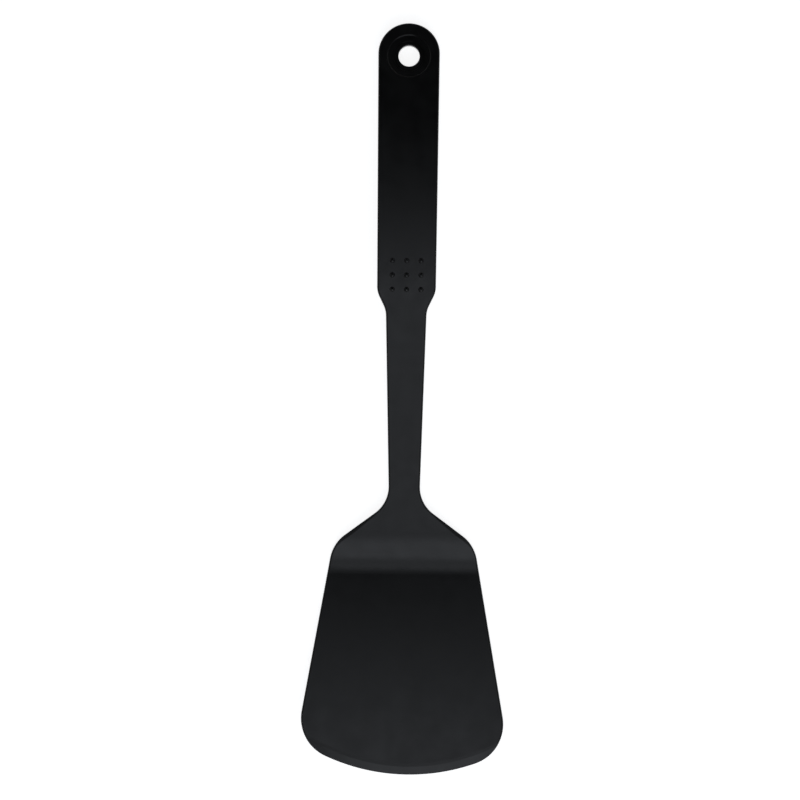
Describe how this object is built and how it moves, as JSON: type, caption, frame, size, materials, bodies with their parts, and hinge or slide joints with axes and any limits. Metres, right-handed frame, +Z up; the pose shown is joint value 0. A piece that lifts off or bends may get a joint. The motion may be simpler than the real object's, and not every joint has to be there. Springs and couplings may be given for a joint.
{
  "type": "spatula",
  "caption": "Black nylon turner for kitchen or grill, with a wide thin bevelled blade, a slim bent neck and a flat handle with grip pips and a hanging hole.",
  "frame": {"origin": "on the table, under the middle of the turner's bounding box, with the turner lying face up on its heel and the end of its handle", "axes": "+Y along the turner from the blade's tip to the handle's end, +Z up from the table, +X across the blade, so that the turner is symmetric about X = 0"},
  "size_m": [0.0888, 0.33, 0.017],
  "materials": {
    "black_nylon": "satin, finely grained moulded nylon"
  },
  "bodies": {
    "root": {"blade": "black_nylon", "shoulder": "black_nylon", "neck": "black_nylon", "handle": "black_nylon", "hanging_eye": "black_nylon", "grip_pip_1": "black_nylon", "grip_pip_2": "black_nylon", "grip_pip_3": "black_nylon", "grip_pip_4": "black_nylon", "grip_pip_5": "black_nylon", "grip_pip_6": "black_nylon", "grip_pip_7": "black_nylon", "grip_pip_8": "black_nylon", "grip_pip_9": "black_nylon"}
  },
  "joints": []
}
